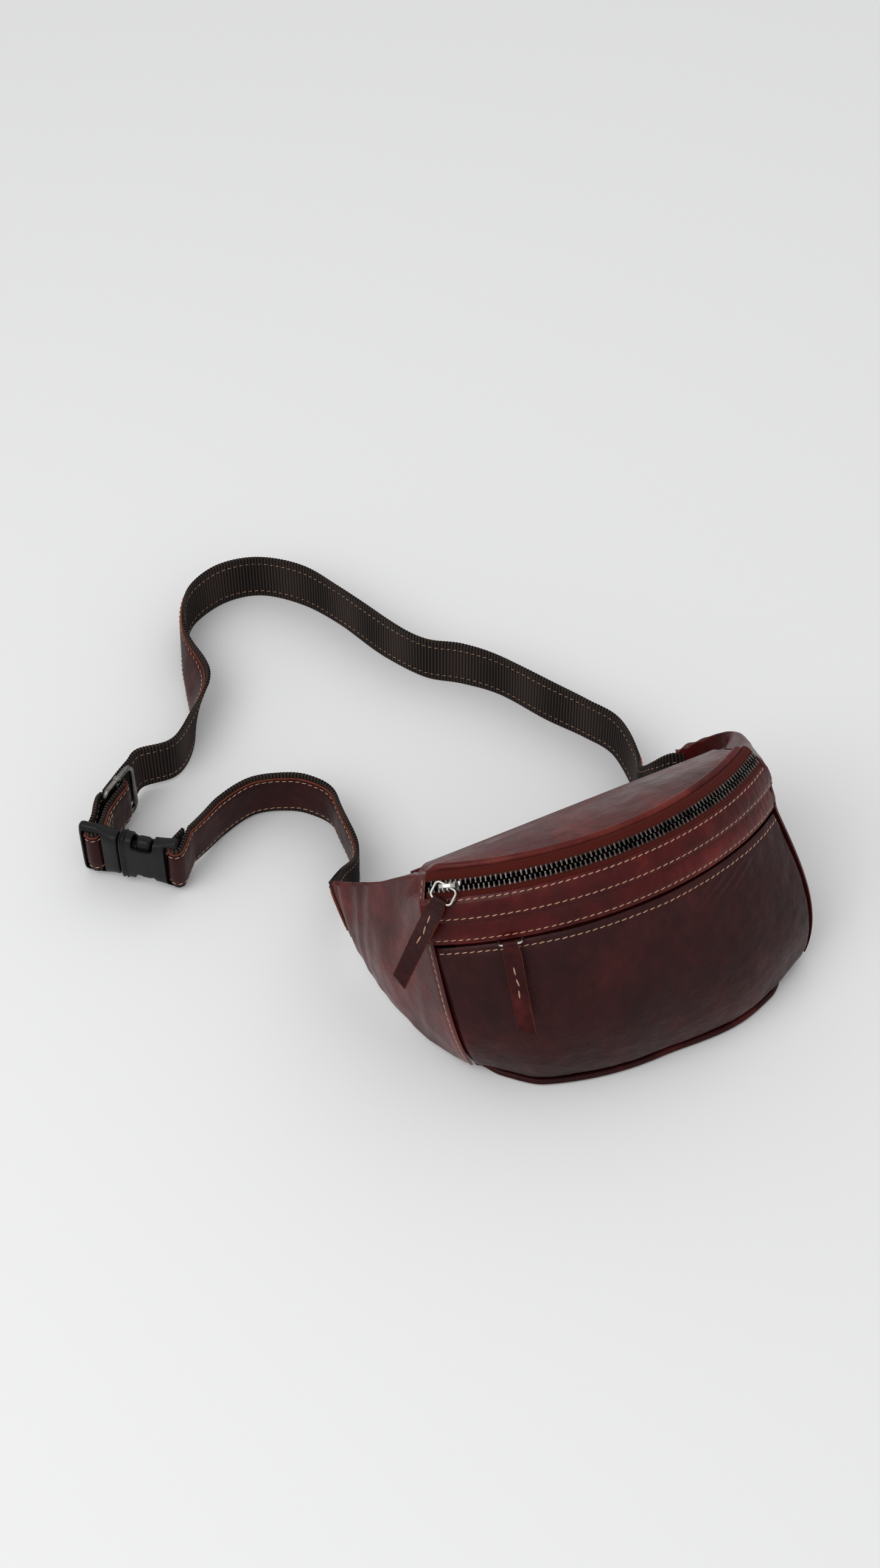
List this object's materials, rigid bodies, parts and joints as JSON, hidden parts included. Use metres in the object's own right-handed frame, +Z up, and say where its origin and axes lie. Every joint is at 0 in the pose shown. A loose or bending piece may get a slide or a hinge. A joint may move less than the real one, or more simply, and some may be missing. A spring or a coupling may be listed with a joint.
{
  "type": "waist pack",
  "caption": "Leather waist pack with a curved main zip, a front zip pocket, side wings and a webbing belt closed by a side-release buckle.",
  "frame": {"origin": "centre of the flat base under the bag", "axes": "+Z up, +Y to the back of the bag and along the laid-out belt, +X to the bag's right as seen from its front"},
  "size_m": [0.399, 0.4886, 0.1529],
  "materials": {
    "oxblood_leather": "waxed pull-up leather with a soft sheen",
    "dark_leather": "darker waxed pull-up leather",
    "lining": "plain cotton lining",
    "zip_tape": "rust red herringbone tape",
    "webbing": "ribbed dark brown webbing",
    "gunmetal": "dark plated metal",
    "nickel": "brushed plated metal",
    "acetal": "moulded black"
  },
  "bodies": {
    "bag": {"back_panel": "oxblood_leather", "top_panel": "oxblood_leather", "base_panel": "oxblood_leather", "front_band_upper": "oxblood_leather", "front_band_lower": "oxblood_leather", "pocket_panel": "dark_leather", "left_wing_front": "oxblood_leather", "right_wing_front": "oxblood_leather", "left_wing_back": "oxblood_leather", "right_wing_back": "oxblood_leather", "top_piping": "oxblood_leather", "base_piping": "oxblood_leather", "pocket_lining": "lining", "main_lining": "lining", "zip_teeth_upper": "gunmetal", "zip_teeth_lower": "gunmetal", "zip_tape_upper": "zip_tape", "zip_tape_lower": "zip_tape", "pocket_tape_upper": "zip_tape", "pocket_tape_lower": "zip_tape", "pocket_coil_upper": "gunmetal", "pocket_coil_lower": "gunmetal", "short_strap_webbing": "webbing", "short_strap_leather": "oxblood_leather", "long_strap_webbing": "webbing", "long_strap_leather": "oxblood_leather", "plug_loop_webbing": "webbing", "plug_loop_leather": "oxblood_leather", "buckle_socket": "acetal", "adjuster": "gunmetal"},
    "main_slider": {"zip_slider": "nickel"},
    "main_ring": {"zip_pull_ring": "nickel"},
    "main_pull": {"zip_pull_tab": "oxblood_leather"},
    "pocket_runner": {"pocket_slider": "nickel", "pocket_pull_ring": "nickel"},
    "pocket_pull": {"pocket_pull_tab": "oxblood_leather"},
    "plug": {"buckle_plug": "acetal"},
    "upper_latch": {"latch_arm_upper": "acetal"},
    "lower_latch": {"latch_arm_lower": "acetal"}
  },
  "joints": [
    {"name": "main_zip_run", "type": "hinge", "parent": "bag", "child": "main_slider", "pos_m": [0, 0.17278, 0.06897], "axis": [0, 0.4618, 0.887], "range_deg": [0, 74]},
    {"name": "main_ring_swing", "type": "hinge", "parent": "main_slider", "child": "main_ring", "pos_m": [-0.10421, 0.05088, 0.13479], "axis": [-0.5065, 0.8581, 0.0851], "range_deg": [0, 110]},
    {"name": "main_pull_swing", "type": "hinge", "parent": "main_ring", "child": "main_pull", "pos_m": [-0.1106, 0.04781, 0.12774], "axis": [-0.5065, 0.8581, 0.0851], "range_deg": [0, 80]},
    {"name": "pocket_zip_run", "type": "hinge", "parent": "bag", "child": "pocket_runner", "pos_m": [0, 0.17278, 0.06897], "axis": [0, 0.4618, 0.887], "range_deg": [-8, 62]},
    {"name": "pocket_pull_swing", "type": "hinge", "parent": "pocket_runner", "child": "pocket_pull", "pos_m": [-0.08202, 0.01243, 0.11061], "axis": [-0.8916, 0.4017, -0.2091], "range_deg": [0, 80]},
    {"name": "buckle_release", "type": "slide", "parent": "bag", "child": "plug", "axis": [-0.7572, 0.6532, 0], "range_m": [0, 0.024], "deforming": ["plug_loop_webbing", "plug_loop_leather", "latch_arm_upper", "latch_arm_lower"]},
    {"name": "upper_latch_press", "type": "hinge", "parent": "plug", "child": "upper_latch", "pos_m": [-0.24194, 0.24615, 0.0344], "axis": [0.6532, 0.7572, 0], "range_deg": [0, 7], "stiffness_Nm_per_rad": 0.2},
    {"name": "lower_latch_press", "type": "hinge", "parent": "plug", "child": "lower_latch", "pos_m": [-0.24194, 0.24615, 0.0136], "axis": [-0.6532, -0.7572, 0], "range_deg": [0, 7], "stiffness_Nm_per_rad": 0.2}
  ]
}
